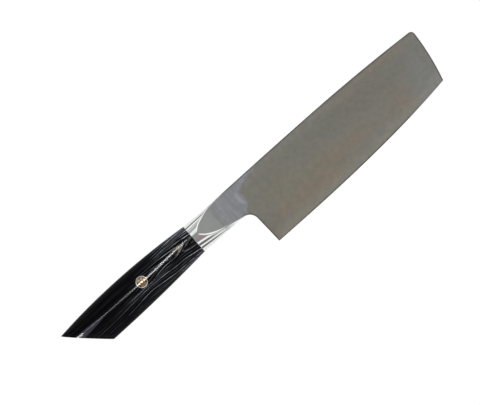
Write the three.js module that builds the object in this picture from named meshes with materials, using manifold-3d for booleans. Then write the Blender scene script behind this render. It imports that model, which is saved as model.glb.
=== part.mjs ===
// Kitchen cleaver with a square front, a polished bolster and a dark laminated handle, on its left side.
// +X runs from the butt to the tip, +Y from the edge to the spine, +Z out of the right cheek. Millimetres.
// While it is built, X is 0 where bolster and handle meet, Y is 0 on the ridge line and Z is 0 mid-blade.
import * as THREE from 'three'
import { mergeVertices } from 'three/addons/utils/BufferGeometryUtils.js'
import loadManifold from 'manifold-3d'

// Blade, seen from the side
const bladeLength = 152.4 // heel corner to tip corner, a six inch blade
const heelDrop = 40.1 // ridge line down to the edge at the heel
const tipRise = 7.7 // climb of the edge from heel to tip
const edgeFlat = 18 // straight edge ahead of the heel, before the belly starts
const frontLean = 6.2 // how far the top front corner stands ahead of the tip
const frontCornerHeight = 6.6 // ridge line up to the top front corner
const frontBulge = 0.9 // how far the middle of the front stands out from a straight line
const frontCornerRound = 4 // length of the corner's rounding along each side
const spineCrown = 9.3 // ridge line up to the highest point of the spine
const spineCrownSetback = 88 // top front corner back to that highest point
const neckLength = 13.4 // bolster to the start of the round notch
const neckRise = 8.65 // ridge line up to the neck's top
const neckDrop = 12.5 // ridge line down to the neck's underside
const notchRadius = 7 // round notch between the neck and the heel
const heelLean = 0.8 // how far the heel corner stands ahead of the end of the notch

// Blade, through its thickness
const spineThickness = 2.2 // at the heel
const spineThicknessFront = 1.7
const heelEdgeThickness = 0.44 // just behind the edge bevel at the heel
const edgeThickness = 0.1 // the edge itself, left blunt
const bevelSlope = 0.16 // rise of each bevel face per millimetre from the edge
const scoopRadius = 87 // hollow that thins the bolster down to the cheeks
const scoopRunout = 6 // notch start forward to where the hollow ends

// Bolster
const bolsterLength = 20.2
const jointRise = 9.25 // ridge line up to the top, where bolster and handle meet
const jointDrop = 12.6 // ridge line down to the underside there
const jointThickness = 18.4 // across the two ridges there
const notchThickness = 5.8 // what the bolster's taper would come down to at the notch
const neckEase = 1 // how far the rounding of the neck's edges has run out at the notch
const ridgePower = 1.5 // shape of the oval section: 2 is an ellipse, 1 has straight sides and a sharp ridge
const bellyPower = 2 // how full the section is below the ridge: 2 is an ellipse, more is squarer
const shoulderPower = 3.2 // the same above the ridge, on the bolster and where the handle meets it

// Handle
const handleLength = 100.6 // joint to butt along the ridge
const buttSlant = 44.2 // degrees between the butt's cut and the knife's length
const buttRise = 8.5
const buttDrop = 16.3
const buttThickness = 20
const riseSwell = 3 // bulge of the top beyond a straight line, half way along
const dropSwell = 0.85
const thicknessSwell = 3
const shoulderRunout = 45 // joint back to where the handle's section is as full above the ridge as below
const buttBevel = 3.3 // width of the bevels that end the two sides, square to the butt's cut
const buttFaceThickness = 14.5 // what the bevels leave of the thickness on the butt's face

// Tang, its glue and the pin that locks it
const tangThickness = 3
const tangSideWall = 2.6 // tang left above and below the pin
const tangEndWood = 25 // solid wood between the tang's end and the butt
const beddingWall = 0.8
const pinDiameter = 8
const pinEndDistance = 24.2 // tang's end to the pin's centre
const pinTubeWall = 0.55
const rodDiameter = 1.75
const rodCircle = 4.35 // diameter of the circle that the rods stand on
const rodCount = 6

// Fits
const jointGap = 0.3 // between bolster and handle, and between bolster and neck
const glueGap = 0.15 // between a glued piece and its neighbour
const margin = 4 // how far a cutting body reaches past what it cuts

// Places that follow from the sizes
const neckStart = bolsterLength + jointGap
const notchX = neckStart + neckLength
const heelX = notchX + notchRadius + heelLean
const tip = new THREE.Vector2(heelX + bladeLength, tipRise - heelDrop)
const frontCorner = new THREE.Vector2(tip.x + frontLean, frontCornerHeight)
const slantRatio = 1 / Math.tan(THREE.MathUtils.degToRad(buttSlant))
const pinRadius = pinDiameter / 2
const tangHalfHeight = pinRadius + glueGap + tangSideWall
const tangEnd = handleLength - slantRatio * tangHalfHeight - tangEndWood
const pinX = pinEndDistance - tangEnd
const curveSteps = 12

const wasm = await loadManifold()
wasm.setup()

// A closed three.js geometry as a body that can be joined and cut
function solid(geometry) {
  const bare = geometry.clone()
  bare.deleteAttribute('normal')
  bare.deleteAttribute('uv')
  const merged = mergeVertices(bare)
  return new wasm.Manifold(
    new wasm.Mesh({
      numProp: 3,
      vertProperties: new Float32Array(merged.attributes.position.array),
      triVerts: new Uint32Array(merged.index.array),
    }),
  )
}

// A joined or cut body back as a three.js geometry
function geometryOf(body) {
  const mesh = body.getMesh()
  const geometry = new THREE.BufferGeometry()
  geometry.setAttribute('position', new THREE.BufferAttribute(new Float32Array(mesh.vertProperties), 3))
  geometry.setIndex(new THREE.BufferAttribute(new Uint32Array(mesh.triVerts), 1))
  geometry.computeVertexNormals()
  return geometry
}

// A body through rings of points that stand one behind the other towards +X, each seen anticlockwise from +X
function loft(rings) {
  const count = rings[0].length
  const last = (rings.length - 1) * count
  const faces = []
  for (let ring = 0; ring < rings.length - 1; ring += 1) {
    for (let step = 0; step < count; step += 1) {
      const next = (step + 1) % count
      const near = ring * count
      const far = near + count
      faces.push(near + step, near + next, far + next, near + step, far + next, far + step)
    }
  }
  for (let step = 1; step < count - 1; step += 1) {
    faces.push(0, step + 1, step, last, last + step, last + step + 1)
  }
  const geometry = new THREE.BufferGeometry().setFromPoints(rings.flat())
  geometry.setIndex(faces)
  return solid(geometry)
}

// A flat outline given thickness, half of it on each side of the blade's middle plane
function plate(shape, thickness) {
  const options = { depth: thickness, bevelEnabled: false, curveSegments: curveSteps }
  const geometry = new THREE.ExtrudeGeometry(shape, options)
  geometry.translate(0, 0, -thickness / 2)
  return solid(geometry)
}

// A round bar across the handle, through both sides
function crossBar(radius, x, y, sides) {
  const length = jointThickness + buttThickness + thicknessSwell
  const geometry = new THREE.CylinderGeometry(radius, radius, length, sides)
  geometry.rotateX(Math.PI / 2)
  geometry.translate(x, y, 0)
  return solid(geometry)
}

// The oval section that bolster and handle share, with a soft ridge along each side, as [y, z] pairs
function oval({ rise, drop, thickness, shoulder }) {
  const steps = 40
  const points = []
  for (let step = 0; step < steps; step += 1) {
    const angle = (2 * Math.PI * step) / steps
    const across = Math.cos(angle)
    const reach = across > 0 ? rise : -drop
    const fullness = across > 0 ? shoulder : bellyPower
    const y = reach * Math.abs(across) ** (2 / ridgePower)
    const z = (thickness / 2) * Math.abs(Math.sin(angle)) ** (2 / fullness)
    points.push([y, angle > Math.PI ? -z : z])
  }
  return points
}

const mix = THREE.MathUtils.lerp

// The outline of the blade from the bolster forward, cut square at the bolster. The front is two straight
// runs, so that the blade, laid down, has corners to rest on and doesn't rock.
function bladeOutline() {
  const outline = new THREE.Shape()
  outline.moveTo(neckStart, -neckDrop)
  outline.lineTo(notchX, -neckDrop)
  outline.absarc(notchX, -neckDrop - notchRadius, notchRadius, Math.PI / 2, 0, true)
  outline.lineTo(heelX, -heelDrop)
  outline.lineTo(heelX + edgeFlat, -heelDrop)
  const belly = bellyCurve()
  outline.quadraticCurveTo(belly.v1.x, belly.v1.y, tip.x, tip.y)
  const frontTop = new THREE.Vector2(frontCorner.x, frontCorner.y - frontCornerRound)
  const upFront = frontTop.clone().sub(tip).normalize()
  const frontMiddle = tip.clone().lerp(frontTop, 0.5)
  frontMiddle.addScaledVector(new THREE.Vector2(upFront.y, -upFront.x), frontBulge)
  outline.lineTo(frontMiddle.x, frontMiddle.y)
  outline.lineTo(frontTop.x, frontTop.y)
  outline.quadraticCurveTo(frontCorner.x, frontCorner.y, frontCorner.x - frontCornerRound, frontCorner.y)
  const crownX = frontCorner.x - spineCrownSetback
  outline.quadraticCurveTo(mix(crownX, frontCorner.x, 0.5), spineCrown, crownX, spineCrown)
  outline.quadraticCurveTo(mix(crownX, neckStart, 0.5), spineCrown, neckStart, neckRise)
  outline.closePath()
  return outline
}

// The curved part of the edge, which leaves the straight part without a corner
function bellyCurve() {
  const start = new THREE.Vector2(heelX + edgeFlat, -heelDrop)
  const bend = new THREE.Vector2(mix(start.x, tip.x, 0.61), -heelDrop)
  return new THREE.QuadraticBezierCurve(start, bend, tip)
}

// Half of the steel's thickness at a place: flat ground cheeks, and the hollow that rises to the bolster
function halfThickness(x, y) {
  const towardsFront = (x - heelX) / (frontCorner.x - heelX)
  const towardsEdge = (neckRise - y) / (neckRise + heelDrop)
  const taper = towardsFront * (spineThickness - spineThicknessFront)
  const grind = towardsEdge * (spineThickness - heelEdgeThickness)
  const behind = Math.max(notchX + scoopRunout - x, 0)
  const hollow = scoopRadius - Math.sqrt(scoopRadius ** 2 - behind ** 2)
  return (spineThickness - taper - grind) / 2 + hollow
}

// Everything between the two ground sides, from behind the bolster to ahead of the front
function groundSides() {
  const hollowEnd = notchX + scoopRunout
  const hollowStart = -jointGap
  const stations = []
  for (let step = 0; step <= curveSteps; step += 1) {
    stations.push(mix(hollowStart, hollowEnd, step / curveSteps))
  }
  stations.push(frontCorner.x + margin)
  const low = -heelDrop - margin
  const high = Math.max(spineCrown, jointRise) + margin
  const ring = (x) => [
    new THREE.Vector3(x, low, -halfThickness(x, low)),
    new THREE.Vector3(x, high, -halfThickness(x, high)),
    new THREE.Vector3(x, high, halfThickness(x, high)),
    new THREE.Vector3(x, low, halfThickness(x, low)),
  ]
  return loft(stations.map(ring))
}

// Everything between the two bevel faces that meet at the edge
function edgeBevels() {
  const reach = heelDrop + spineCrown + jointThickness
  const past = edgeThickness
  const belly = bellyCurve()
  const lastWay = belly.getTangent(1)
  const places = [{ point: new THREE.Vector2(0, -heelDrop), way: new THREE.Vector2(1, 0) }]
  for (let step = 0; step <= curveSteps; step += 1) {
    places.push({ point: belly.getPoint(step / curveSteps), way: belly.getTangent(step / curveSteps) })
  }
  places.push({ point: tip.clone().addScaledVector(lastWay, frontLean + reach), way: lastWay })
  const ring = ({ point, way }) => {
    const inward = new THREE.Vector2(-way.y, way.x)
    const outer = point.clone().addScaledVector(inward, -past)
    const inner = point.clone().addScaledVector(inward, reach)
    const outerHalf = edgeThickness / 2 - past * bevelSlope
    const innerHalf = edgeThickness / 2 + reach * bevelSlope
    return [
      new THREE.Vector3(outer.x, outer.y, -outerHalf),
      new THREE.Vector3(inner.x, inner.y, -innerHalf),
      new THREE.Vector3(inner.x, inner.y, innerHalf),
      new THREE.Vector3(outer.x, outer.y, outerHalf),
    ]
  }
  return loft(places.map(ring))
}

// The tapered bar that bolster and neck are ground from, with its edges squaring up towards the notch
function taperedBar(fromX, toX) {
  const stations = 8
  const rings = []
  for (let step = 0; step <= stations; step += 1) {
    const x = mix(fromX, toX, step / stations)
    const onBolster = THREE.MathUtils.clamp(x / bolsterLength, 0, 1)
    const onNeck = Math.max(x - neckStart, 0) / neckLength
    const section = oval({
      rise: mix(jointRise, neckRise, THREE.MathUtils.smoothstep(onBolster, 0, 1)) + neckEase * onNeck ** 3,
      drop: mix(jointDrop, neckDrop, onBolster) + neckEase * onNeck ** 3,
      thickness: mix(jointThickness, notchThickness, x / notchX),
      shoulder: shoulderPower,
    })
    rings.push(section.map(([y, z]) => new THREE.Vector3(x, y, z)))
  }
  return loft(rings)
}

// The handle's outside: sections that swing from square at the joint to the slant of the butt, where both
// sides are bevelled towards the middle plane
function handleForm() {
  const bow = (joint, butt, swell, along) => mix(joint, butt, along) + 4 * swell * along * (1 - along)
  const bevelStart = 1 - buttBevel / Math.sin(THREE.MathUtils.degToRad(buttSlant)) / handleLength
  const ring = (along, flatten) => {
    const fading = THREE.MathUtils.smoothstep(along * handleLength, 0, shoulderRunout)
    const section = oval({
      rise: bow(jointRise, buttRise, riseSwell, along),
      drop: bow(jointDrop, buttDrop, dropSwell, along),
      thickness: bow(jointThickness, buttThickness, thicknessSwell, along),
      shoulder: mix(shoulderPower, bellyPower, fading),
    })
    const reach = (y) => jointGap + along * (handleLength + slantRatio * y)
    return section.map(([y, z]) => new THREE.Vector3(-reach(y), y, z * flatten))
  }
  const stations = 16
  const rings = [ring(1, buttFaceThickness / buttThickness)]
  for (let step = stations; step >= 0; step -= 1) {
    rings.push(ring((bevelStart * step) / stations, 1))
  }
  return loft(rings)
}

// The hidden tang, or the room round it, as a bar with a round end inside the handle
function tangBar(fromX, grow) {
  const half = tangHalfHeight + grow
  const outline = new THREE.Shape()
  outline.moveTo(fromX, half)
  outline.lineTo(tangHalfHeight - tangEnd, half)
  outline.absarc(tangHalfHeight - tangEnd, 0, half, Math.PI / 2, 1.5 * Math.PI, false)
  outline.lineTo(fromX, -half)
  outline.closePath()
  return plate(outline, tangThickness + 2 * grow)
}

const knife = new THREE.Group()

function addPiece(name, body, look) {
  const mesh = new THREE.Mesh(geometryOf(body), new THREE.MeshStandardMaterial(look))
  mesh.name = name
  knife.add(mesh)
}

const pinRoom = crossBar(pinRadius + glueGap, pinX, 0, 24)
const steelSides = groundSides()
const handleOutside = handleForm()

// Blade: one forged and ground piece with its thick neck and the tang behind it
const blankWidth = 2 * jointThickness
const aheadEnd = frontCorner.x + margin
const aheadOfNeck = new THREE.BoxGeometry(aheadEnd - notchX, 2 * (heelDrop + margin), blankWidth)
aheadOfNeck.translate((aheadEnd + notchX) / 2, 0, 0)
const blank = plate(bladeOutline(), blankWidth)
  .intersect(taperedBar(neckStart - jointGap, notchX + jointGap).add(solid(aheadOfNeck)))
  .intersect(steelSides)
  .intersect(edgeBevels())
const blade = blank.add(tangBar(neckStart + neckLength / 4, 0)).subtract(pinRoom)
addPiece('blade', blade, { color: '#8d8a84', roughness: 0.42, metalness: 1 })

// Bolster: a polished block slotted over the tang, its sides hollowed down to the cheeks
const bolster = taperedBar(0, bolsterLength)
  .intersect(steelSides)
  .subtract(tangBar(neckStart + margin, glueGap))
addPiece('bolster', bolster, { color: '#c9cacc', roughness: 0.08, metalness: 1 })

// Handle block: black laminated wood with a blind slot for the tang and a hole for the pin
const beddingGrow = beddingWall + 2 * glueGap
const handleBlock = handleOutside.subtract(tangBar(margin, beddingGrow)).subtract(pinRoom)
addPiece('handle_block', handleBlock, { color: '#17161a', roughness: 0.18, metalness: 0 })

// Tang bedding: the hardened glue that fills the slot round the tang
const bedding = tangBar(-jointGap, beddingWall + glueGap)
  .subtract(tangBar(margin, glueGap))
  .subtract(pinRoom)
addPiece('tang_bedding', bedding, { color: '#2a2520', roughness: 0.5, metalness: 0 })

// Mosaic pin: a tube filled with bright rods set in dark resin, ground flush with the handle on both sides
const tubeBore = pinRadius - pinTubeWall
const tube = crossBar(pinRadius, pinX, 0, 24).subtract(crossBar(tubeBore, pinX, 0, 24))
addPiece('pin_tube', tube.intersect(handleOutside), { color: '#c8b49a', roughness: 0.25, metalness: 1 })

const rodPlaces = [{ name: 'pin_core', x: pinX, y: 0 }]
for (let rod = 0; rod < rodCount; rod += 1) {
  const angle = (2 * Math.PI * rod) / rodCount
  rodPlaces.push({
    name: `pin_rod_${rod + 1}`,
    x: pinX + (rodCircle / 2) * Math.cos(angle),
    y: (rodCircle / 2) * Math.sin(angle),
  })
}
let resin = crossBar(tubeBore - glueGap, pinX, 0, 24)
for (const { name, x, y } of rodPlaces) {
  const rod = crossBar(rodDiameter / 2, x, y, 12).intersect(handleOutside)
  addPiece(name, rod, { color: '#b08d5a', roughness: 0.3, metalness: 1 })
  resin = resin.subtract(crossBar(rodDiameter / 2 + glueGap, x, y, 12))
}
addPiece('pin_resin', resin.intersect(handleOutside), { color: '#2b211a', roughness: 0.35, metalness: 0 })

// The knife lies on its left side with the middle of its outline over the origin
const box = new THREE.Box3().setFromObject(knife, true)
knife.position.set(-(box.min.x + box.max.x) / 2, -(box.min.y + box.max.y) / 2, -box.min.z)

export default knife
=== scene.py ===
import math

import bpy
import numpy as np
from mathutils import Matrix, Vector


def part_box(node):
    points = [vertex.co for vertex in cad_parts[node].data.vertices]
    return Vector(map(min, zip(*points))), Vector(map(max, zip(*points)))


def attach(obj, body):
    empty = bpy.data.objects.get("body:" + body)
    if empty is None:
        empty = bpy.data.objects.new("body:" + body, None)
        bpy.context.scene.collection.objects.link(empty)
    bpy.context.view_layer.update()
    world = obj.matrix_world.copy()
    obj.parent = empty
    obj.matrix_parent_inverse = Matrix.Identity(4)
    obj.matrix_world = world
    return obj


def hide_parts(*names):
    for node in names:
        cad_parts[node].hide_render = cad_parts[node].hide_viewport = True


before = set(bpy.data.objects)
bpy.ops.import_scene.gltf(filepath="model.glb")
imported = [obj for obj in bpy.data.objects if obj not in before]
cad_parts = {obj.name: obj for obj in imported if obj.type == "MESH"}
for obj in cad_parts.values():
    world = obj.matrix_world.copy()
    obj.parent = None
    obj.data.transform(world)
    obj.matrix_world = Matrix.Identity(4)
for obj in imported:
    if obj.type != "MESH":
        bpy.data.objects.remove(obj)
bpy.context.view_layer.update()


# Blade: one piece of stainless steel with a thick neck behind the heel. The tang that goes on into the handle
# can't be seen and is left to the solids. The cheeks are ground flat from spine to edge and left satin, and a
# wide hollow, polished across, carries them up to the bolster.
bolster_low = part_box("bolster")[0]
blade_low, blade_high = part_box("blade")
pin_low, pin_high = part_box("pin_tube")

# Sizes are in millimetres. X counts forward from the joint of bolster and handle, Y up from the line of the
# handle's side ridge, Z from the blade's middle plane.
knife_origin = np.array([bolster_low.x, (pin_low.y + pin_high.y) / 2, (blade_low.z + blade_high.z) / 2])
metre = 1000

bolster_length = 20.2
neck_start = 20.215
neck_rise = 8.65
neck_drop = 12.5
notch_x = 33.9
notch_radius = 7.0
notch_end_x = notch_x + notch_radius
heel_lean = 0.8
heel_x = notch_end_x + heel_lean
heel_drop = 40.1
edge_flat = 18.0
tip = np.array([194.1, -32.4])
belly_bend = 0.61
front_corner = np.array([200.3, 6.6])
corner_round = 3.2
front_bulge = 0.99
spine_crown = np.array([112.3, 9.3])

spine_thickness = 2.2
front_taper = 0.5
edge_grind = 1.76
edge_thickness = 0.1
bevel_slope = 0.16
scoop_radius = 87.0
scoop_runout = 6.0
rim_radius = 0.3
rim_limit = 0.8
least_height = 0.01
sharp_angle = math.radians(32)

# The tapered bar that bolster and neck are ground from, and the crease where the hollow cuts into it
joint_rise = 9.25
joint_drop = 12.6
joint_thickness = 18.4
notch_thickness = 5.8
neck_ease = 1.0
ridge_power = 1.5
ridge_round = 0.17
belly_power = 2.0
shoulder_power = 3.2
neck_shoulder_power = 5.2
neck_shoulder_start = 12.0
neck_shoulder_run = 14.0
crease_start = 5.0
crease_run = 10.0
crease_start_softness = 0.22
crease_softness = 0.45
crease_limit = 0.9


def mix(start, end, share):
    """The value at a share of the way from a start to an end."""
    return start + (end - start) * share


def ease(share):
    """A share kept between 0 and 1 and eased at both ends."""
    share = np.clip(share, 0, 1)
    return share * share * (3 - 2 * share)


def onset(value, start, run):
    """A share that is 0 up to a start and eases to 1 over a run."""
    return ease((value - start) / run)


def hump(value, centre, width):
    """A share that is 1 at a centre and falls softly away to both sides."""
    return np.exp(-(((value - centre) / width) ** 2))


def bend(start, control, end, count):
    """Points along a quadratic curve."""
    share = np.linspace(0, 1, count)[:, None]
    return mix(mix(start, control, share), mix(control, end, share), share)


def soft_min(first, second, softness):
    """The smaller of two heights, with the crease between them rounded off."""
    overlap = np.maximum(softness - np.abs(first - second), 0) / softness
    return np.minimum(first, second) - overlap**2 * softness / 4


def oval_height(y, rise, drop, thickness, shoulder):
    """Half the thickness of the soft ridged oval that bolster and handle share."""
    share = np.clip(np.abs(y) / np.where(y > 0, rise, drop), 0, 1)
    lost = ridge_round**ridge_power
    fall = (share**2 + ridge_round**2) ** (ridge_power / 2) - lost
    whole = (1 + ridge_round**2) ** (ridge_power / 2) - lost
    fullness = np.where(y > 0, shoulder, belly_power)
    return thickness / 2 * np.clip(1 - fall / whole, 0, 1) ** (1 / fullness)


def bar_section(x):
    """Rise, drop, thickness and shoulder of the tapered bar that bolster and neck are ground from."""
    on_bolster = np.clip(x / bolster_length, 0, 1)
    on_neck = np.clip((x - neck_start) / (notch_x - neck_start), 0, 1)
    rise = mix(joint_rise, neck_rise, ease(on_bolster)) + neck_ease * on_neck**3
    drop = mix(joint_drop, neck_drop, on_bolster) + neck_ease * on_neck**3
    thickness = mix(joint_thickness, notch_thickness, x / notch_x)
    on_shoulder = onset(x, neck_shoulder_start, neck_shoulder_run)
    return rise, drop, thickness, mix(shoulder_power, neck_shoulder_power, on_shoulder)


def ground_height(x, y):
    """Half the thickness between the flat cheeks, with the hollow that rises to the bolster."""
    taper = (x - heel_x) / (front_corner[0] - heel_x) * front_taper
    grind = (neck_rise - y) / (neck_rise + heel_drop) * edge_grind
    behind = np.maximum(notch_x + scoop_runout - x, 0)
    hollow = scoop_radius - np.sqrt(scoop_radius**2 - behind**2)
    return (spine_thickness - taper - grind) / 2 + hollow


def steel_height(x, y):
    """Half the thickness of neck and bolster: the bar where the hollow hasn't reached it."""
    ground = ground_height(x, y)
    softness = mix(crease_start_softness, crease_softness, onset(x, crease_start, crease_run))
    softness = np.minimum(softness, crease_limit * ground)
    return soft_min(ground, oval_height(y, *bar_section(x)), softness)


def spine_y(x):
    """Height of the spine, which falls from its crown to the neck and to the front."""
    crown_x, crown_y = spine_crown
    back = (crown_x - x) / (crown_x - neck_start)
    ahead = (x - crown_x) / (front_corner[0] - corner_round - crown_x)
    back_fall = (crown_y - neck_rise) * back**2
    front_fall = (crown_y - front_corner[1]) * ahead**2
    return crown_y - np.where(x < crown_x, back_fall, front_fall)


def distance_to(points, line):
    """Distance of each point from a line of straight runs."""
    start = line[:-1][None]
    run = (line[1:] - line[:-1])[None]
    away = points[:, None] - start
    share = np.clip((away * run).sum(2) / (run**2).sum(2), 0, 1)
    return np.linalg.norm(away - share[..., None] * run, axis=2).min(1)


def along(line, shares):
    """Points at given shares of a line's length."""
    steps = np.linalg.norm(np.diff(line, axis=0), axis=1)
    length = np.concatenate([[0], np.cumsum(steps)])
    return np.stack([np.interp(shares * length[-1], length, line[:, axis]) for axis in (0, 1)], axis=1)


def crowded(length, step, gaps):
    """Places from 0 to a length, close together at both ends."""
    clear = gaps[-1] * 1.3
    middle = np.linspace(0, length, max(int(length / step), 3) + 1)[1:-1]
    middle = middle[(middle > clear) & (middle < length - clear)]
    return np.concatenate([gaps, middle, length - gaps[::-1]])


def add_piece(name, points, faces, finish, slot, *nodes):
    """A smooth shaded mesh that stands for CAD nodes and rides on the knife's one body."""
    mesh = bpy.data.meshes.new(name)
    mesh.from_pydata((points / metre + knife_origin).tolist(), [], faces)
    mesh.shade_smooth()
    mesh.set_sharp_from_angle(angle=sharp_angle)
    mesh.materials.append(finish)
    piece = bpy.data.objects.new(name, mesh)
    bpy.context.scene.collection.objects.link(piece)
    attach(piece, "root")
    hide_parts(*nodes)
    return piece


def lay_on(piece, name, values):
    """A value for each point of a mesh, or of each of its two halves, for its material."""
    layer = piece.data.attributes.new(name, "FLOAT", "POINT")
    layer.data.foreach_set("value", np.tile(values, len(layer.data) // len(values)).astype(np.float32))


def new_finish(name):
    """A new material and its shader."""
    finish = bpy.data.materials.new(name)
    finish.use_nodes = True
    return finish, finish.node_tree.nodes["Principled BSDF"]


def feed(tree, socket, value):
    """Link another socket to this one, or set its value."""
    if isinstance(value, bpy.types.NodeSocket):
        tree.links.new(value, socket)
    else:
        socket.default_value = value


def add_node(tree, kind, inputs=None, **settings):
    """A node with its settings and with its inputs fed."""
    node = tree.nodes.new(kind)
    for key, value in settings.items():
        setattr(node, key, value)
    for key, value in (inputs or {}).items():
        feed(tree, node.inputs[key], value)
    return node


def reckon(tree, operation, *values):
    """The result of a sum in a Math node."""
    return add_node(tree, "ShaderNodeMath", dict(enumerate(values)), operation=operation).outputs[0]


def mix_colour(tree, share, first, second, blend="MIX"):
    """The colour between two others."""
    node = add_node(tree, "ShaderNodeMix", data_type="RGBA", blend_type=blend)
    for socket, value in zip((node.inputs[0], node.inputs[6], node.inputs[7]), (share, first, second)):
        feed(tree, socket, value)
    return node.outputs[2]


def shaded(tree, tint, shade):
    """A tint times a shade."""
    return mix_colour(tree, 1.0, tint, shade, "MULTIPLY")


def ramp(tree, share, *stops):
    """A colour ramp through (place, grey or colour) stops."""
    node = add_node(tree, "ShaderNodeValToRGB", {"Fac": share})
    elements = node.color_ramp.elements
    while len(elements) < len(stops):
        elements.new(1.0)
    for element, (place, colour) in zip(elements, stops):
        element.position = place
        element.color = colour if isinstance(colour, tuple) else (colour, colour, colour, 1)
    return node.outputs["Color"]


def laid(tree, name):
    """The value that lay_on gave to the points of the mesh."""
    return add_node(tree, "ShaderNodeAttribute", attribute_name=name).outputs["Fac"]


def stretch(tree, place, scale):
    """A place with each of its axes scaled."""
    return add_node(tree, "ShaderNodeMapping", {"Vector": place, "Scale": scale}).outputs[0]


def noise(tree, place, scale, detail, roughness=0.5):
    """A cloudy share from 0 to 1."""
    inputs = {"Vector": place, "Scale": scale, "Detail": detail, "Roughness": roughness}
    return add_node(tree, "ShaderNodeTexNoise", inputs).outputs["Fac"]


heel = np.array([heel_x, -heel_drop])
flat_end = np.array([heel_x + edge_flat, -heel_drop])
belly_control = np.array([mix(flat_end[0], tip[0], belly_bend), -heel_drop])
edge_line = np.vstack([heel, bend(flat_end, belly_control, tip, count=60)])

front_end = front_corner - [0, corner_round]
corner_end = front_corner - [corner_round, 0]
front_run = front_end - tip
front_out = np.array([front_run[1], -front_run[0]]) / np.hypot(*front_run)
front_control = (tip + front_end) / 2 + 2 * front_bulge * front_out
corner_line = bend(front_end, front_corner, corner_end, count=16)
front_line = np.vstack([bend(tip, front_control, front_end, count=40), corner_line[1:]])

notch_angles = np.linspace(0, math.pi / 2, 17)
notch_line_x = notch_x + notch_radius * np.sin(notch_angles)
notch_line_y = -neck_drop - notch_radius * (1 - np.cos(notch_angles))
notch_line = np.stack([notch_line_x, notch_line_y], axis=1)
spine_x = np.linspace(neck_start, corner_end[0], 80)
rim_lines = [
    np.vstack([[neck_start, -neck_drop], notch_line, heel]),
    front_line,
    np.stack([spine_x, spine_y(spine_x)], axis=1),
]

# The cheek is a grid. Its columns run from edge to spine, and those of the neck have only the rows above the
# end of the notch.
heel_height = spine_y(notch_end_x) + heel_drop
notch_height = heel_drop - neck_drop - notch_radius
close_rows = np.array([0, 0.1, 0.22, 0.36, 0.6, 1.0, 1.5])
lower_rows = crowded(notch_height, step=2.0, gaps=close_rows)
upper_rows = notch_height + crowded(heel_height - notch_height, step=1.6, gaps=close_rows)
rows = np.concatenate([lower_rows[:-1], upper_rows]) / heel_height
notch_row = len(lower_rows) - 1
neck_shares = (rows[notch_row:] - rows[notch_row]) / (1 - rows[notch_row])
round_shares = (1 - np.cos(np.linspace(0, math.pi, len(neck_shares)))) / 2

columns = []
neck_gaps = np.array([0, 0.08, 0.2, 0.4])
neck_columns = neck_start + crowded(notch_x - neck_start, step=0.6, gaps=neck_gaps)
for column_x in np.concatenate([neck_columns, notch_line_x[1:-1]]):
    low_y = np.interp(column_x, notch_line_x, notch_line_y) if column_x > notch_x else -neck_drop
    high_y = min(spine_y(column_x), bar_section(column_x)[0])
    shares = mix(round_shares, neck_shares, ease((column_x - neck_start) / notch_radius / 2))
    column = np.full((len(rows), 2), np.nan)
    column[notch_row:, 0] = column_x
    column[notch_row:, 1] = mix(low_y, high_y, shares)
    columns.append(column)

# The columns ahead of the notch fill the space between edge, front, spine and heel
front_column = along(front_line, rows)
heel_rise = rows * heel_height
heel_column_x = heel_x - heel_lean * np.clip(heel_rise / notch_height, 0, 1)
heel_column = np.stack([heel_column_x, heel_rise - heel_drop], axis=1)
blade_reach = tip[0] - heel_x
for share in crowded(blade_reach, step=1.8, gaps=close_rows) / blade_reach:
    low_x = mix(heel_x, tip[0], share)
    low = np.array([low_x, np.interp(low_x, edge_line[:, 0], edge_line[:, 1])])
    high_x = mix(notch_end_x, corner_end[0], share)
    high = np.array([high_x, spine_y(high_x)])
    between_lines = mix(low, high, rows[:, None])
    between_ends = mix(heel_column, front_column, share)
    low_corners = mix(heel_column[0], front_column[0], share)
    high_corners = mix(heel_column[-1], front_column[-1], share)
    columns.append(between_lines + between_ends - mix(low_corners, high_corners, rows[:, None]))

grid = np.array(columns)
made = ~np.isnan(grid[..., 0])
point_number = np.where(made, np.cumsum(made.ravel()).reshape(made.shape) - 1, -1)
flat = grid[made]
blade_x, blade_y = flat.T
rim_gap = np.min([distance_to(flat, line) for line in rim_lines], axis=0)
edge_gap = distance_to(flat, edge_line)
height = np.where(blade_x < notch_x, steel_height(blade_x, blade_y), ground_height(blade_x, blade_y))
height = np.minimum(height, edge_thickness / 2 + bevel_slope * edge_gap)
rounding = np.minimum(rim_radius, rim_limit * height)
inside = np.clip(rounding - rim_gap, 0, None)
rounded = height - rounding + np.sqrt(np.maximum(rounding**2 - inside**2, 0))
height = np.maximum(rounded, least_height)

# The left cheek mirrors the right one, and a band along their open sides closes the blade
cheek_faces = []
for column in range(len(grid) - 1):
    for row in range(len(rows) - 1):
        face = point_number[[column, column + 1, column + 1, column], [row, row, row + 1, row + 1]]
        if face.min() >= 0:
            cheek_faces.append(face.tolist())
sides = {}
for face in cheek_faces:
    for start, end in zip(face, face[1:] + face[:1]):
        sides[start, end] = True
count = len(flat)
blade_faces = list(cheek_faces)
blade_faces += [[corner + count for corner in reversed(face)] for face in cheek_faces]
blade_faces += [[end, start, start + count, end + count] for start, end in sides if (end, start) not in sides]
blade_points = np.vstack([np.column_stack([flat, height]), np.column_stack([flat, -height])])

# Satin steel, clouded by the tints that heat and use leave, brighter on the cross polished neck, with a
# painted highlight streak where the hollow runs out, and darkened along its rounded rims by a painted dark
# reflection
plain_tint = (0.419, 0.415, 0.366, 1)
warm_tint = (0.462, 0.391, 0.32, 1)
cool_tint = (0.428, 0.433, 0.415, 1)
olive_tint = (0.43, 0.406, 0.325, 1)
bolster_end_tint = (0.61, 0.622, 0.62, 1)
blade_end_tint = (0.705, 0.715, 0.75, 1)
painted_highlight_tint = (0.94, 0.945, 1.0, 1)

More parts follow.
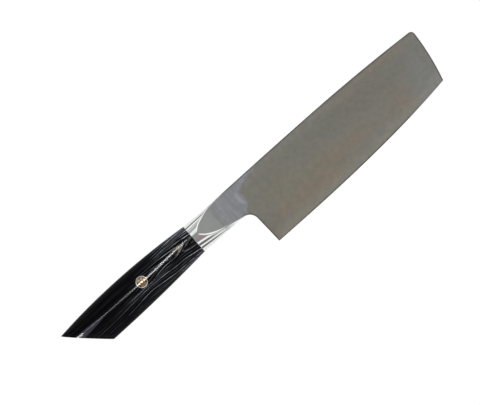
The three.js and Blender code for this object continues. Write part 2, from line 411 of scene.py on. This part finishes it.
satin, satin_shader = new_finish("satin_steel")
tree = satin.node_tree
place = add_node(tree, "ShaderNodeTexCoord").outputs["Object"]
clouds = noise(tree, stretch(tree, place, (0.4, 1.0, 1.0)), scale=95.0, detail=4.0, roughness=0.6)
mottle = noise(tree, place, scale=260.0, detail=3.0, roughness=0.7)
blotches = noise(tree, place, scale=130.0, detail=3.0, roughness=0.65)
rubbing = noise(tree, stretch(tree, place, (1.0, 0.07, 1.0)), scale=800.0, detail=4.0)
grain = noise(tree, stretch(tree, place, (6.0, 0.5, 1.0)), scale=900.0, detail=2.0)
polish = laid(tree, "polish")

cloud_share = ramp(tree, clouds, (0.35, 0.0), (0.65, 1.0))
clouded = reckon(tree, "MULTIPLY_ADD", cloud_share, 0.7, 0.55)
warm_share = reckon(tree, "MULTIPLY", laid(tree, "warmth"), clouded)
warm_share = reckon(tree, "MULTIPLY_ADD", cloud_share, 0.22, warm_share)
tint = mix_colour(tree, warm_share, plain_tint, warm_tint)
tint = mix_colour(tree, laid(tree, "coolness"), tint, cool_tint)
tint = mix_colour(tree, laid(tree, "olive"), tint, olive_tint)
blotch_shade = ramp(tree, blotches, (0.36, (0.95, 0.97, 0.96, 1)), (0.64, (1.02, 0.995, 0.99, 1)))
tint = shaded(tree, tint, blotch_shade)
neck_tint = mix_colour(tree, laid(tree, "blueness"), bolster_end_tint, blade_end_tint)
neck_tint = shaded(tree, neck_tint, ramp(tree, rubbing, (0.3, 0.9), (0.7, 1.1)))
ragged_polish = reckon(tree, "MULTIPLY_ADD", reckon(tree, "SUBTRACT", mottle, 0.5), 0.4, polish)
tint = mix_colour(tree, ramp(tree, ragged_polish, (0.15, 0.0), (0.85, 1.0)), tint, neck_tint)
tint = shaded(tree, tint, ramp(tree, laid(tree, "wear"), (0.0, 0.88), (1.0, 1.12)))
# Painted highlight: a pale streak where the hollow runs out
tint = mix_colour(tree, laid(tree, "painted_highlight"), tint, painted_highlight_tint)
tint = shaded(tree, tint, ramp(tree, mottle, (0.3, 0.94), (0.7, 1.06)))
# Painted dark reflection along the rounded rims
tint = shaded(tree, tint, ramp(tree, laid(tree, "painted_rim_shade"), (0.0, 1.0), (1.0, 0.12)))
roughness = reckon(tree, "MULTIPLY_ADD", polish, -0.16, 0.29)
roughness = reckon(tree, "MULTIPLY_ADD", grain, 0.08, roughness)
bump = add_node(tree, "ShaderNodeBump", {"Height": grain, "Strength": 0.12, "Distance": 0.00002})
satin_shader.inputs["Metallic"].default_value = 1.0
tree.links.new(tint, satin_shader.inputs["Base Color"])
tree.links.new(roughness, satin_shader.inputs["Roughness"])
tree.links.new(bump.outputs["Normal"], satin_shader.inputs["Normal"])

blade = add_piece("blade_steel", blade_points, blade_faces, satin, "blade_steel", "blade")


def soft_patches(*patches):
    """1 in the middle of soft oval patches, each given by its centre, length and width, falling away to 0."""
    total = 0
    for centre_x, centre_y, length, width in patches:
        total = total + np.exp(-(((blade_x - centre_x) / length) ** 2) - ((blade_y - centre_y) / width) ** 2)
    return np.clip(total, 0, 1)


# Where the tints lie: the warm ones fade to the front, and a few patches are cool or olive
front_fade = mix(1, 0.6, onset(blade_x, 120, 40))
warmth = soft_patches((80, -27, 32, 9), (116, -22, 26, 5), (168, 4.5, 28, 4), (165, -23, 18, 8))
lay_on(blade, "warmth", warmth * front_fade)
lay_on(blade, "coolness", 0.8 * soft_patches((187, -15, 13, 14), (186, -29, 14, 6), (50, 7, 8, 4)))
lay_on(blade, "olive", 0.8 * soft_patches((66, -13, 14, 10), (92, -19, 14, 6), (74, -37, 14, 4)))

# The polish of the hollow ends at the heel, but near the spine it fades out farther ahead. The neck gets
# bluer to the front, and a painted highlight streak stands where the hollow runs out.
middle_polish_end = 42.6
spine_polish_run = 19
low_polish_loss = 4
near_spine = np.clip((blade_y - 1) / 7, 0, 1) ** 2
low_share = np.clip((-7 - blade_y) / 4, 0, 1)
polish_end = middle_polish_end + spine_polish_run * near_spine - low_polish_loss * low_share
polish_fade = mix(4, 30, near_spine)
lay_on(blade, "polish", ease((polish_end - blade_x) / polish_fade + 0.5))
lay_on(blade, "blueness", onset(blade_x, 21, 8))
# Where the painted highlight streak lies
highlight_streak_x = 40 + 0.05 * np.maximum(-2 - blade_y, 0) ** 2
highlight_streak_y = -1.5
painted_highlight_streak = np.exp(-(((blade_x - highlight_streak_x) / 1.5) ** 2) - ((blade_y - highlight_streak_y) / 5) ** 4)
lay_on(blade, "painted_highlight", painted_highlight_streak)

# Edge and spine are worn brighter, three patches are duller, and the rounded rims are darkened by a painted
# dark reflection
spine_wear_y = 9
rim_shade_width = 0.65
wear = 0.7 * hump(edge_gap, 0, 6) + 0.3 * hump(blade_y, spine_wear_y, 4)
heel_dull = 0.4 * soft_patches((47, -29, 6, 7))
front_dull = 0.4 * soft_patches((155, -5, 45, 10))
middle_dull = 0.2 * soft_patches((95, -2, 40, 8))
dull = heel_dull + front_dull + middle_dull
lay_on(blade, "wear", np.clip(0.5 + wear * onset(blade_x, 42, 8) - dull, 0, 1))
# The rims' painted dark reflection, fading toward the tip along the edge
painted_edge_rim_shade = hump(edge_gap, 0, rim_shade_width) * mix(1, 0.25, onset(blade_x, 150, 30))
painted_outer_rim_shade = hump(rim_gap, 0, rim_shade_width) * onset(blade_x, notch_x - 4, 8)
lay_on(blade, "painted_rim_shade", np.maximum(painted_edge_rim_shade, painted_outer_rim_shade))


# Bolster: a block of stainless steel brazed on behind the neck. Its sides are a soft ridged oval, hollowed
# forward in one sweep with the neck, and it is polished to a mirror.
end_round = 0.05
bolster_gaps = np.array([0, 0.03, 0.08, 0.2])
angles = np.linspace(0, 2 * math.pi, 192, endpoint=False)


def ring_faces(rings, per_ring, closed_ends=True):
    """Quads between rings of points, and a face over each end."""
    faces = []
    for ring in range(rings - 1):
        near = ring * per_ring
        far = near + per_ring
        for step in range(per_ring):
            after = (step + 1) % per_ring
            faces.append([near + step, near + after, far + after, far + step])
    if closed_ends:
        faces.append(list(range(per_ring))[::-1])
        faces.append([(rings - 1) * per_ring + step for step in range(per_ring)])
    return faces


def oval_y(rise, drop):
    """Heights of the points round the oval, close together where it bends most."""
    across = np.cos(angles)
    return np.where(across > 0, rise, -drop) * np.abs(across) ** (2 / ridge_power)


bolster_rings = []
for ring_place in crowded(bolster_length, step=0.4, gaps=bolster_gaps):
    ring_y = oval_y(*bar_section(ring_place)[:2])
    ring_x = np.full_like(ring_y, ring_place)
    ring_z = np.sign(np.sin(angles)) * steel_height(ring_x, ring_y)
    from_end = min(ring_place, bolster_length - ring_place)
    inset = end_round - math.sqrt(end_round**2 - max(end_round - from_end, 0) ** 2)
    shrink = 1 - inset / np.hypot(ring_y, ring_z)
    bolster_rings.append(np.column_stack([ring_x, ring_y * shrink, ring_z * shrink]))

dark_mirror_tint = (0.73, 0.745, 0.73, 1)
pale_mirror_tint = (0.79, 0.803, 0.79, 1)
mirror, mirror_shader = new_finish("mirror_steel")
tree = mirror.node_tree
place = add_node(tree, "ShaderNodeTexCoord").outputs["Object"]
scratches = noise(tree, stretch(tree, place, (9.0, 0.7, 0.7)), scale=700.0, detail=3.0)
haze = noise(tree, place, scale=120.0, detail=2.0)
tint = ramp(tree, haze, (0.3, dark_mirror_tint), (0.7, pale_mirror_tint))
bump = add_node(tree, "ShaderNodeBump", {"Height": scratches, "Strength": 0.05, "Distance": 0.00001})
mirror_shader.inputs["Metallic"].default_value = 1.0
tree.links.new(tint, mirror_shader.inputs["Base Color"])
tree.links.new(reckon(tree, "MULTIPLY_ADD", scratches, 0.05, 0.015), mirror_shader.inputs["Roughness"])
tree.links.new(bump.outputs["Normal"], mirror_shader.inputs["Normal"])

bolster_faces = ring_faces(len(bolster_rings), len(angles))
add_piece("bolster_steel", np.vstack(bolster_rings), bolster_faces, mirror, "polished_steel", "bolster")


# Handle block: black wood veneers pressed together with resin, shaped to the bolster's oval, swollen in the
# middle and cut off at a slant, with bevelled sides at the butt. Sanded fine and polished.
handle_gap = 0.05
handle_length = 100.6
butt_slant = math.radians(44.2)
slant_ratio = 1 / math.tan(butt_slant)
butt_rise = 8.5
butt_drop = 16.3
butt_thickness = 20.0
butt_bevel = 3.3
butt_face_thickness = 14.5
shoulder_runout = 45.0

# The swells of rise and thickness are a few microns under the solids', so that these finer rings stay inside
# the solids' box
rise_swell = 2.995
drop_swell = 0.85
thickness_swell = 2.985


def bow(joint, butt, swell, share):
    """A size that runs from joint to butt with a swell in the middle."""
    return mix(joint, butt, share) + 4 * swell * share * (1 - share)


def handle_section(share):
    """Rise, drop, thickness and shoulder of the handle, from 0 at the joint to 1 at the butt."""
    return (
        bow(joint_rise, butt_rise, rise_swell, share),
        bow(joint_drop, butt_drop, drop_swell, share),
        bow(joint_thickness, butt_thickness, thickness_swell, share),
        mix(shoulder_power, belly_power, ease(share * handle_length / shoulder_runout)),
    )


bevel_start = 1 - butt_bevel / math.sin(butt_slant) / handle_length
grip_shares = bevel_start * np.linspace(0, 1, 180)
bevel_shares = mix(bevel_start, 1, np.array([0.04, 0.12, 0.3, 0.6, 0.85, 0.95, 1.0]))
handle_rings = []
for share in np.concatenate([grip_shares, bevel_shares]):
    rise, drop, thickness, shoulder = handle_section(share)
    ring_y = oval_y(rise, drop)
    on_bevel = max(share - bevel_start, 0) / (1 - bevel_start)
    flatten = mix(1, butt_face_thickness / butt_thickness, on_bevel)
    ring_z = np.sign(np.sin(angles)) * oval_height(ring_y, rise, drop, thickness, shoulder) * flatten
    ring_x = -handle_gap - share * (handle_length + slant_ratio * ring_y)
    handle_rings.append(np.column_stack([ring_x, ring_y, ring_z])[::-1])

handle_points = np.vstack(handle_rings)
handle_x, handle_y, handle_z = handle_points.T

# The veneers are waved, so the rounded sides cut them in lines. Where these lie is reckoned as a count of
# layers. The ridge sinks through one layer in each layer_run on the way to the butt, and away from the ridge
# the count climbs, at first ever faster and then evenly.
layer_run = 15.0
first_count = 0.33
ridge_joint_y = 1.6
ridge_butt_y = -0.6
climb = 10.0
climb_depth = 3.0
even_below = 2.6
even_above = 4.5
sink_start = 7.0
eye_back = 15.7
eye_dive = 28.0
arch_end = 40.0
arch_dip = 28.0
arch_dip_back = 45.7
side_reach = 4.0
side_layers = 0.6

back = -handle_x
ridge_y = ridge_joint_y * (1 - onset(back, 8, 34)) + ridge_butt_y * onset(back, 60, 30)
from_ridge = handle_y - ridge_y
under_ridge = from_ridge < 0
depth = np.abs(from_ridge)
curved = np.minimum(depth, np.where(under_ridge, even_below, even_above))
growth = np.exp(curved / climb_depth)
spread = climb * (growth - 1) + climb / climb_depth * growth * (depth - curved)
sunk = back - sink_start - 0.008 * np.maximum(back - 50, 0) ** 2
sunk = sunk * mix(1, 0.2, onset(depth, 3.5, 4))

# Under the ridge the lines dive round an eye behind the joint and arch over the belly
dive_near = eye_dive * hump(back, eye_back, 6.5) * onset(depth, 0, 1.5)
dive_far = (14 + 1.6 * np.maximum(14 - back, 0)) * (1 - onset(back, 18, 14))
dive = mix(dive_near, dive_far, onset(depth, 5, 1.2))
arch = np.maximum(arch_end - back, 0) - arch_dip * hump(back, arch_dip_back, 14)
slowed = np.exp((curved - np.minimum(depth, even_above)) / climb_depth)
below = (dive + arch * onset(depth, 3.8, 1.6)) * slowed
side_height = handle_section(np.clip(back / handle_length, 0, 1))[2] / 2
to_middle = np.maximum(side_height - np.abs(handle_z) - side_reach, 0)
layers = (spread - sunk - np.where(under_ridge, below, 0)) / layer_run + first_count + side_layers * to_middle
layer_rate = climb / climb_depth * growth / layer_run

# The lines are pale near the joint and fade to the butt as painted shade, sooner above the ridge than below
# it
above_line_gain_and_shade = np.interp(back, [4, 18, 30, 50], [2.5, 1.25, 0.2, 0.06])
below_line_gain_and_shade = np.interp(back, [4, 18, 50, 66, 90], [1.3, 0.8, 0.65, 0.2, 0.12])
belly_gain = mix(0.6, 2.2, onset(-handle_y, 7.5, 2))
below_line_gain_and_shade = below_line_gain_and_shade * mix(belly_gain, 1, onset(back, 18, 12))
bright_stretch = np.exp(-(((handle_y + 6) / 1.2) ** 2) - ((back - 42) / 18) ** 4)
below_line_gain_and_shade = below_line_gain_and_shade * (1 + 1.2 * bright_stretch)
line_gain_and_painted_shade = mix(below_line_gain_and_shade, above_line_gain_and_shade, onset(handle_y, 2.5, 1.5))

# One strength for each layer's line, from the first layer that shows. A line starts with its layer, and is
# drawn across a given width in millimetres, with a faint second one behind it.
black_tint = (0.001, 0.001, 0.0015, 1)
line_tint = (0.36, 0.375, 0.42, 1)
eye_tint = (0.26, 0.24, 0.19, 1)
core_tint = (0.03, 0.029, 0.038, 1)
first_layer = -6
line_strengths = (0.05, 0.06, 0.3, 0.04, 0.12, 0.3, 0.9, 0.6, 0.15, 0.75, 0.12, 0.65, 0.15, 0.5, 0.15)
strength_stops = [(order / len(line_strengths), strength) for order, strength in enumerate(line_strengths)]
profile_width = 4.0
main_line = ((0.0, 0.0), (0.025, 1.0), (0.075, 1.0), (0.13, 0.0))
faint_line = ((0.3, 0.0), (0.32, 0.06), (0.36, 0.06), (0.38, 0.0))
fine_lines = (
    (0.36, 0.0), (0.39, 0.8), (0.42, 0.0),
    (0.5, 0.0), (0.53, 1.0), (0.56, 0.0),
    (0.63, 0.0), (0.66, 0.7), (0.69, 0.0),
)
above_zero = 100.0

lacquer, lacquer_shader = new_finish("laminated_black_wood")
tree = lacquer.node_tree
place = add_node(tree, "ShaderNodeTexCoord").outputs["Object"]
own_place = {"Vector": place, "Location": tuple(-metre * knife_origin), "Scale": (metre, metre, metre)}
own = add_node(tree, "ShaderNodeMapping", own_place).outputs[0]
sway = noise(tree, stretch(tree, own, (0.05, 0.2, 0.2)), scale=1.0, detail=2.0)
fibres = noise(tree, stretch(tree, own, (0.05, 1.1, 1.1)), scale=1.0, detail=2.0)
fine = noise(tree, stretch(tree, own, (0.01, 0.6, 0.6)), scale=1.0, detail=1.0)
specks = noise(tree, own, scale=1.3, detail=3.0)
# The lines' gain, which carries the painted shade toward the butt
gain = laid(tree, "line_gain_and_painted_shade")

layer = reckon(tree, "MULTIPLY_ADD", reckon(tree, "SUBTRACT", sway, 0.5), 0.4, laid(tree, "layer"))
counted = reckon(tree, "ADD", layer, above_zero)
line_gap = reckon(tree, "DIVIDE", reckon(tree, "FRACT", counted), laid(tree, "layer_rate"))
line_order = reckon(tree, "SUBTRACT", reckon(tree, "FLOOR", counted), above_zero + first_layer)
line_strength = ramp(tree, reckon(tree, "DIVIDE", line_order, len(line_strengths)), *strength_stops)
line = ramp(tree, reckon(tree, "MULTIPLY", line_gap, 1 / profile_width), *main_line, *faint_line)
line_share = reckon(tree, "MULTIPLY", reckon(tree, "MULTIPLY", line, line_strength), gain)
fibre_share = ramp(tree, fibres, (0.38, 0.0), (0.62, 1.0))
line_share = reckon(tree, "MULTIPLY", line_share, reckon(tree, "MULTIPLY_ADD", fibre_share, 0.85, 0.15))
fine_gain = reckon(tree, "MULTIPLY", gain, 0.015)
fine_share = reckon(tree, "MULTIPLY", ramp(tree, fine, *fine_lines), fine_gain)
wood = mix_colour(tree, reckon(tree, "MAXIMUM", line_share, fine_share), black_tint, line_tint)

# A speckled brown eye lies behind the joint, and the deepest layers, cut near the butt, are dark grey
along_handle = add_node(tree, "ShaderNodeSeparateXYZ", {"Vector": own}).outputs["X"]
eye_layers = reckon(tree, "MULTIPLY_ADD", layer, 0.2, 0.5)
eye_share = ramp(tree, eye_layers, (0.3, 0.0), (0.36, 1.0), (0.54, 1.0), (0.56, 0.0))
eye_places = reckon(tree, "MULTIPLY", along_handle, -0.02)
near_eye = ramp(tree, eye_places, (0.09, 0.0), (0.13, 1.0), (0.26, 1.0), (0.34, 0.0))
eye_share = reckon(tree, "MULTIPLY", eye_share, near_eye)
eye_share = reckon(tree, "MULTIPLY", eye_share, ramp(tree, specks, (0.45, 0.06), (0.62, 0.9)))
wood = mix_colour(tree, eye_share, wood, eye_tint)
core_share = ramp(tree, reckon(tree, "MULTIPLY_ADD", layer, 0.1, 0.9), (0.5, 1.0), (0.53, 0.0))
wood = mix_colour(tree, core_share, wood, core_tint)
bump = add_node(tree, "ShaderNodeBump", {"Height": fibres, "Strength": 0.004, "Distance": 0.00002})
lacquer_shader.inputs["Specular IOR Level"].default_value = 0.02
tree.links.new(wood, lacquer_shader.inputs["Base Color"])
tree.links.new(reckon(tree, "MULTIPLY_ADD", fibres, 0.02, 0.13), lacquer_shader.inputs["Roughness"])
tree.links.new(bump.outputs["Normal"], lacquer_shader.inputs["Normal"])

handle_faces = ring_faces(len(handle_rings), len(angles))
handle = add_piece("handle_wood", handle_points, handle_faces, lacquer, "laminated_wood", "handle_block")
lay_on(handle, "layer", layers)
lay_on(handle, "layer_rate", layer_rate)
lay_on(handle, "line_gain_and_painted_shade", line_gain_and_painted_shade)


# Tang bedding: the glue that fills the slot round the tang. It is poured in, hardens there, and is closed in
# by the handle, so it keeps its solid.
dark_glue_tint = (0.08, 0.07, 0.06, 1)
pale_glue_tint = (0.13, 0.115, 0.1, 1)
glue, glue_shader = new_finish("tang_glue")
tree = glue.node_tree
bubbles = add_node(tree, "ShaderNodeTexNoise", {"Scale": 400.0, "Detail": 2.0}).outputs["Fac"]
tint = ramp(tree, bubbles, (0.3, dark_glue_tint), (0.7, pale_glue_tint))
tree.links.new(tint, glue_shader.inputs["Base Color"])
glue_shader.inputs["Roughness"].default_value = 0.5
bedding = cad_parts["tang_bedding"]
bedding.data.materials.clear()
bedding.data.materials.append(glue)


# Mosaic pin: a tube of pale brass with seven brass rods set in dark resin inside it. It goes through handle
# and tang, is glued, and is ground and polished flush with both sides.
pin_x = ((pin_low.x + pin_high.x) / 2 - knife_origin[0]) * metre
pin_radius = 4.0
tube_wall = 0.55
tube_bore = pin_radius - tube_wall
rod_radius = 0.965
rod_circle_radius = 2.175
rod_count = 6
tube_proud = 0.02
resin_proud = 0.01
rod_proud = 0.02

# Rims are rubbed down a little. The rings of a bar start close to its axis, where a face closes them.
rim_dip = 0.4 * tube_proud
bar_middle = 0.01


def handle_height(x, y):
    """Half the thickness of the handle over a place on its outline."""
    share = (-handle_gap - x) / (handle_length + slant_ratio * y)
    return oval_height(y, *handle_section(share))


def pin_piece(name, centre_x, centre_y, inner, outer, proud, finish, slot, node):
    """A round bar or tube across the handle, with ends that follow the handle's sides."""
    is_bar = inner == bar_middle
    turns = np.linspace(0, 2 * math.pi, 48, endpoint=False)
    spans = np.linspace(inner, outer, 7)
    rings = []
    for side in (1, -1):
        for span in spans[::side]:
            ring_x = centre_x + span * np.cos(turns)
            ring_y = centre_y + span * np.sin(turns)
            lift = proud - rim_dip * (span == outer)
            rings.append(np.column_stack([ring_x, ring_y, side * (handle_height(ring_x, ring_y) + lift)]))
    faces = ring_faces(len(rings), len(turns), closed_ends=is_bar)
    if not is_bar:
        last = (len(rings) - 1) * len(turns)
        for step in range(len(turns)):
            after = (step + 1) % len(turns)
            faces.append([last + step, last + after, after, step])
    faces = [face[::-1] for face in faces]
    return add_piece(name, np.vstack(rings), faces, finish, slot, node)


def worn_metal(name, dark, light, roughness):
    """Ground and polished metal with fine scratches."""
    finish, shader = new_finish(name)
    tree = finish.node_tree
    place = add_node(tree, "ShaderNodeTexCoord").outputs["Object"]
    scratches = noise(tree, place, scale=2500.0, detail=2.0)
    tree.links.new(ramp(tree, scratches, (0.35, dark), (0.65, light)), shader.inputs["Base Color"])
    tree.links.new(reckon(tree, "MULTIPLY_ADD", scratches, 0.15, roughness), shader.inputs["Roughness"])
    shader.inputs["Metallic"].default_value = 1.0
    return finish


dark_tube_tint = (0.6, 0.5, 0.43, 1)
pale_tube_tint = (0.75, 0.66, 0.58, 1)
dark_rod_tint = (0.34, 0.25, 0.16, 1)
pale_rod_tint = (0.52, 0.39, 0.26, 1)
tube_metal = worn_metal("pale_brass", dark_tube_tint, pale_tube_tint, roughness=0.15)
rod_metal = worn_metal("rod_brass", dark_rod_tint, pale_rod_tint, roughness=0.12)

dark_resin_tint = (0.02, 0.014, 0.009, 1)
pale_resin_tint = (0.06, 0.04, 0.025, 1)
resin, resin_shader = new_finish("pin_resin")
tree = resin.node_tree
specks = add_node(tree, "ShaderNodeTexNoise", {"Scale": 3000.0, "Detail": 2.0}).outputs["Fac"]
tint = ramp(tree, specks, (0.35, dark_resin_tint), (0.7, pale_resin_tint))
tree.links.new(tint, resin_shader.inputs["Base Color"])
resin_shader.inputs["Roughness"].default_value = 0.15
resin_shader.inputs["Specular IOR Level"].default_value = 1.0

tube_radii = (tube_bore, pin_radius)
resin_radii = (bar_middle, tube_bore)
rod_radii = (bar_middle, rod_radius)
pin_pieces = [
    pin_piece("pin_tube_ends", pin_x, 0, *tube_radii, tube_proud, tube_metal, "pin_tube_metal", "pin_tube"),
    pin_piece("pin_resin_fill", pin_x, 0, *resin_radii, resin_proud, resin, "pin_resin", "pin_resin"),
    pin_piece("pin_core_rod", pin_x, 0, *rod_radii, rod_proud, rod_metal, "pin_rod_brass", "pin_core"),
]
for rod in range(rod_count):
    angle = 2 * math.pi * rod / rod_count
    rod_x = pin_x + rod_circle_radius * math.cos(angle)
    rod_y = rod_circle_radius * math.sin(angle)
    name = f"pin_ring_rod_{rod + 1}"
    node = f"pin_rod_{rod + 1}"
    piece = pin_piece(name, rod_x, rod_y, *rod_radii, rod_proud, rod_metal, "pin_rod_brass", node)
    pin_pieces.append(piece)


# Floor: a wide white sheet that the knife lies on. It shows white to the camera and in the polished steel,
# and keeps a little of the knife's shadow.
floor_size = 6.0
floor_drop = 0.0002
paper_white = 1.03
white_share = 0.95
half = floor_size / 2
floor_corners = [(-half, -half, 0), (half, -half, 0), (half, half, 0), (-half, half, 0)]
floor_mesh = bpy.data.meshes.new("floor")
floor_mesh.from_pydata(floor_corners, [], [(0, 1, 2, 3)])
floor = bpy.data.objects.new("floor", floor_mesh)
floor.location.z = -floor_drop
bpy.context.scene.collection.objects.link(floor)

paper = bpy.data.materials.new("white_paper")
paper.use_nodes = True
tree = paper.node_tree
tree.nodes.clear()
rays = add_node(tree, "ShaderNodeLightPath")
shown = reckon(tree, "MAXIMUM", rays.outputs["Is Camera Ray"], rays.outputs["Is Glossy Ray"])
shown = reckon(tree, "MAXIMUM", shown, rays.outputs["Is Transmission Ray"])
lit = add_node(tree, "ShaderNodeBsdfDiffuse", {"Color": (0.85, 0.85, 0.85, 1)})
white = add_node(tree, "ShaderNodeEmission", {"Color": (1, 1, 1, 1), "Strength": paper_white})
shown_share = reckon(tree, "MULTIPLY", shown, white_share)
sheet = add_node(tree, "ShaderNodeMixShader", {0: shown_share, 1: lit.outputs[0], 2: white.outputs[0]})
add_node(tree, "ShaderNodeOutputMaterial", {"Surface": sheet.outputs[0]})
floor_mesh.materials.append(paper)


# Light: a studio with a dim grey ceiling, striped pale panels round the knife and a pale board below the
# neck, which the polished steel mirrors. A wide soft lamp lights what is matt, and small ones give the handle
# and the pin their gloss.
ceiling = 0.3
pinkish = (0.36, 0.3, 0.3, 1)
board_white = (1.2, 1.2, 1.2, 1)
never_zero = 0.0001

# Stops of the walls' brightness, from 0 straight overhead to 1 at the horizon
edge_side_wall = (
    (0.2, ceiling), (0.3, 0.37), (0.36, pinkish), (0.49, pinkish), (0.52, 1.2), (0.565, 1.2), (0.6, 0.15),
    (0.685, 0.16), (0.73, 1.1), (0.79, 1.1), (0.83, 0.12), (0.95, 0.14), (0.98, 0.8), (1.0, 0.95),
)
spine_side_wall = (
    (0.12, ceiling), (0.22, 0.85), (0.37, 1.15), (0.42, 0.45), (0.46, 0.42), (0.5, 0.65), (0.62, 0.65),
    (0.68, 1.1), (0.77, 1.1), (0.81, 0.16), (0.92, 0.16), (0.96, 0.8), (1.0, 0.95),
)
front_wall = (
    (0.0, ceiling), (0.15, 0.31), (0.25, 0.325), (0.35, 0.35), (0.6, 0.37), (0.75, 0.6), (1.0, 0.95),
)
butt_wall = ((0.3, ceiling), (0.5, 0.65), (1.0, 0.8))

world = bpy.data.worlds.new("studio")
bpy.context.scene.world = world
world.use_nodes = True
tree = world.node_tree
tree.nodes.clear()
outward = add_node(tree, "ShaderNodeTexCoord").outputs["Generated"]
way_x, way_y, way_z = add_node(tree, "ShaderNodeSeparateXYZ", {"Vector": outward}).outputs
lean = reckon(tree, "DIVIDE", reckon(tree, "ARCCOSINE", way_z), math.pi / 2)
off_axis = reckon(tree, "ABSOLUTE", way_y)
sideways = reckon(tree, "POWER", off_axis, 2.0)
endways = reckon(tree, "POWER", reckon(tree, "ABSOLUTE", way_x), 2.0)
level = reckon(tree, "ADD", reckon(tree, "ADD", sideways, endways), never_zero)
side_share = reckon(tree, "DIVIDE", sideways, level)
at_front = reckon(tree, "GREATER_THAN", way_x, 0.0)
on_spine_side = reckon(tree, "GREATER_THAN", way_y, 0.0)
edge_side = ramp(tree, lean, *edge_side_wall)
spine_side = ramp(tree, lean, *spine_side_wall)
side_walls = mix_colour(tree, on_spine_side, edge_side, spine_side)
end_walls = mix_colour(tree, at_front, ramp(tree, lean, *butt_wall), ramp(tree, lean, *front_wall))
studio = mix_colour(tree, ramp(tree, side_share, (0.05, 0.0), (0.3, 1.0)), end_walls, side_walls)

# Bright corners ahead of the knife on both sides, and the board below the neck on the edge's side
bright_corner = ramp(tree, off_axis, (0.12, 0.0), (0.19, 1.0), (0.55, 1.0), (0.62, 0.0))
bright_corner = reckon(tree, "MULTIPLY", bright_corner, ramp(tree, way_x, (0.33, 0.0), (0.4, 1.0)))
studio = mix_colour(tree, bright_corner, studio, board_white)
neck_board = reckon(tree, "MULTIPLY_ADD", way_z, -0.26, way_x)
neck_board = ramp(tree, neck_board, (0.0, 1.0), (0.045, 0.0))
neck_board = reckon(tree, "MULTIPLY", neck_board, ramp(tree, lean, (0.25, 0.0), (0.33, 1.0)))
neck_board = reckon(tree, "MULTIPLY", neck_board, reckon(tree, "SUBTRACT", 1.0, on_spine_side))
studio = mix_colour(tree, neck_board, studio, board_white)
rays = add_node(tree, "ShaderNodeLightPath")
studio = mix_colour(tree, rays.outputs["Is Camera Ray"], studio, (1, 1, 1, 1))
sky = add_node(tree, "ShaderNodeBackground", {"Color": studio, "Strength": 1.0})
add_node(tree, "ShaderNodeOutputWorld", {"Surface": sky.outputs[0]})


def add_lamp(name, aim, way, run, size, power):
    """A flat lamp one metre off, with its first side along a given run."""
    lamp_data = bpy.data.lights.new(name, "AREA")
    lamp_data.shape = "RECTANGLE"
    lamp_data.size, lamp_data.size_y = size
    lamp_data.energy = power
    lamp = bpy.data.objects.new(name, lamp_data)
    way = Vector(way).normalized()
    side = Vector(run).cross(way).normalized()
    lamp.matrix_world = Matrix((side.cross(-way), -side, way)).transposed().to_4x4()
    lamp.location = Vector(aim) + way
    lamp.visible_camera = False
    bpy.context.scene.collection.objects.link(lamp)
    return lamp


def gloss_alone(lamp, pieces):
    """Keep a lamp to the gloss of some pieces."""
    lamp.visible_diffuse = False
    reach = bpy.data.collections.new(lamp.name + "_reach")
    for piece in pieces:
        reach.objects.link(piece)
    lamp.light_linking.receiver_collection = reach


lengthways = (1, 0, 0)
upright = (0, 0, 1)
pin_place = knife_origin + np.array([pin_x, 0, 0]) / metre
butt_place = knife_origin + np.array([-handle_length, 0, 0]) / metre

soft_lamp = add_lamp("soft_lamp", (0, 0, 0), upright, lengthways, size=(1.5, 1.5), power=8.0)
soft_lamp.visible_glossy = False

ridge_way = (0.0365, 0.12, 1.0)
ridge_run = (0.125, 0.3, 0)
ridge_lamp = add_lamp("ridge_lamp", pin_place, ridge_way, ridge_run, size=(0.388, 0.03), power=40.0)
gloss_alone(ridge_lamp, [handle])

fill_way = (-0.15, -0.005, 1.0)
fill_run = (-0.22, -0.04, 0)
ridge_fill = add_lamp("ridge_fill", pin_place, fill_way, fill_run, size=(0.24, 0.08), power=9.0)
gloss_alone(ridge_fill, [handle])

pin_way = (-0.034, 0.04, 1.0)
pin_lamp = add_lamp("pin_lamp", pin_place, pin_way, lengthways, size=(0.08, 0.16), power=0.5)
gloss_alone(pin_lamp, pin_pieces)

butt_way = (-0.794, -0.6, 0.13)
butt_lamp = add_lamp("butt_lamp", butt_place, butt_way, upright, size=(0.5, 0.14), power=60.0)
gloss_alone(butt_lamp, [handle])


# Camera: straight above, with a long lens, turned so that the knife points up to the right as in the
# photograph
knife_turn = math.radians(41.5)
view_width = 0.3194
aim_x = -0.00643
aim_y = 0.01038
camera_data = bpy.data.cameras.new("camera")
camera_data.lens = 150.0
camera_data.sensor_width = 36.0
camera = bpy.data.objects.new("camera", camera_data)
camera_distance = view_width * camera_data.lens / camera_data.sensor_width
camera.location = (aim_x, aim_y, knife_origin[2] + camera_distance)
camera.rotation_euler = (0, 0, -knife_turn)
bpy.context.scene.collection.objects.link(camera)
bpy.context.scene.camera = camera
bpy.context.scene.view_settings.view_transform = "Standard"
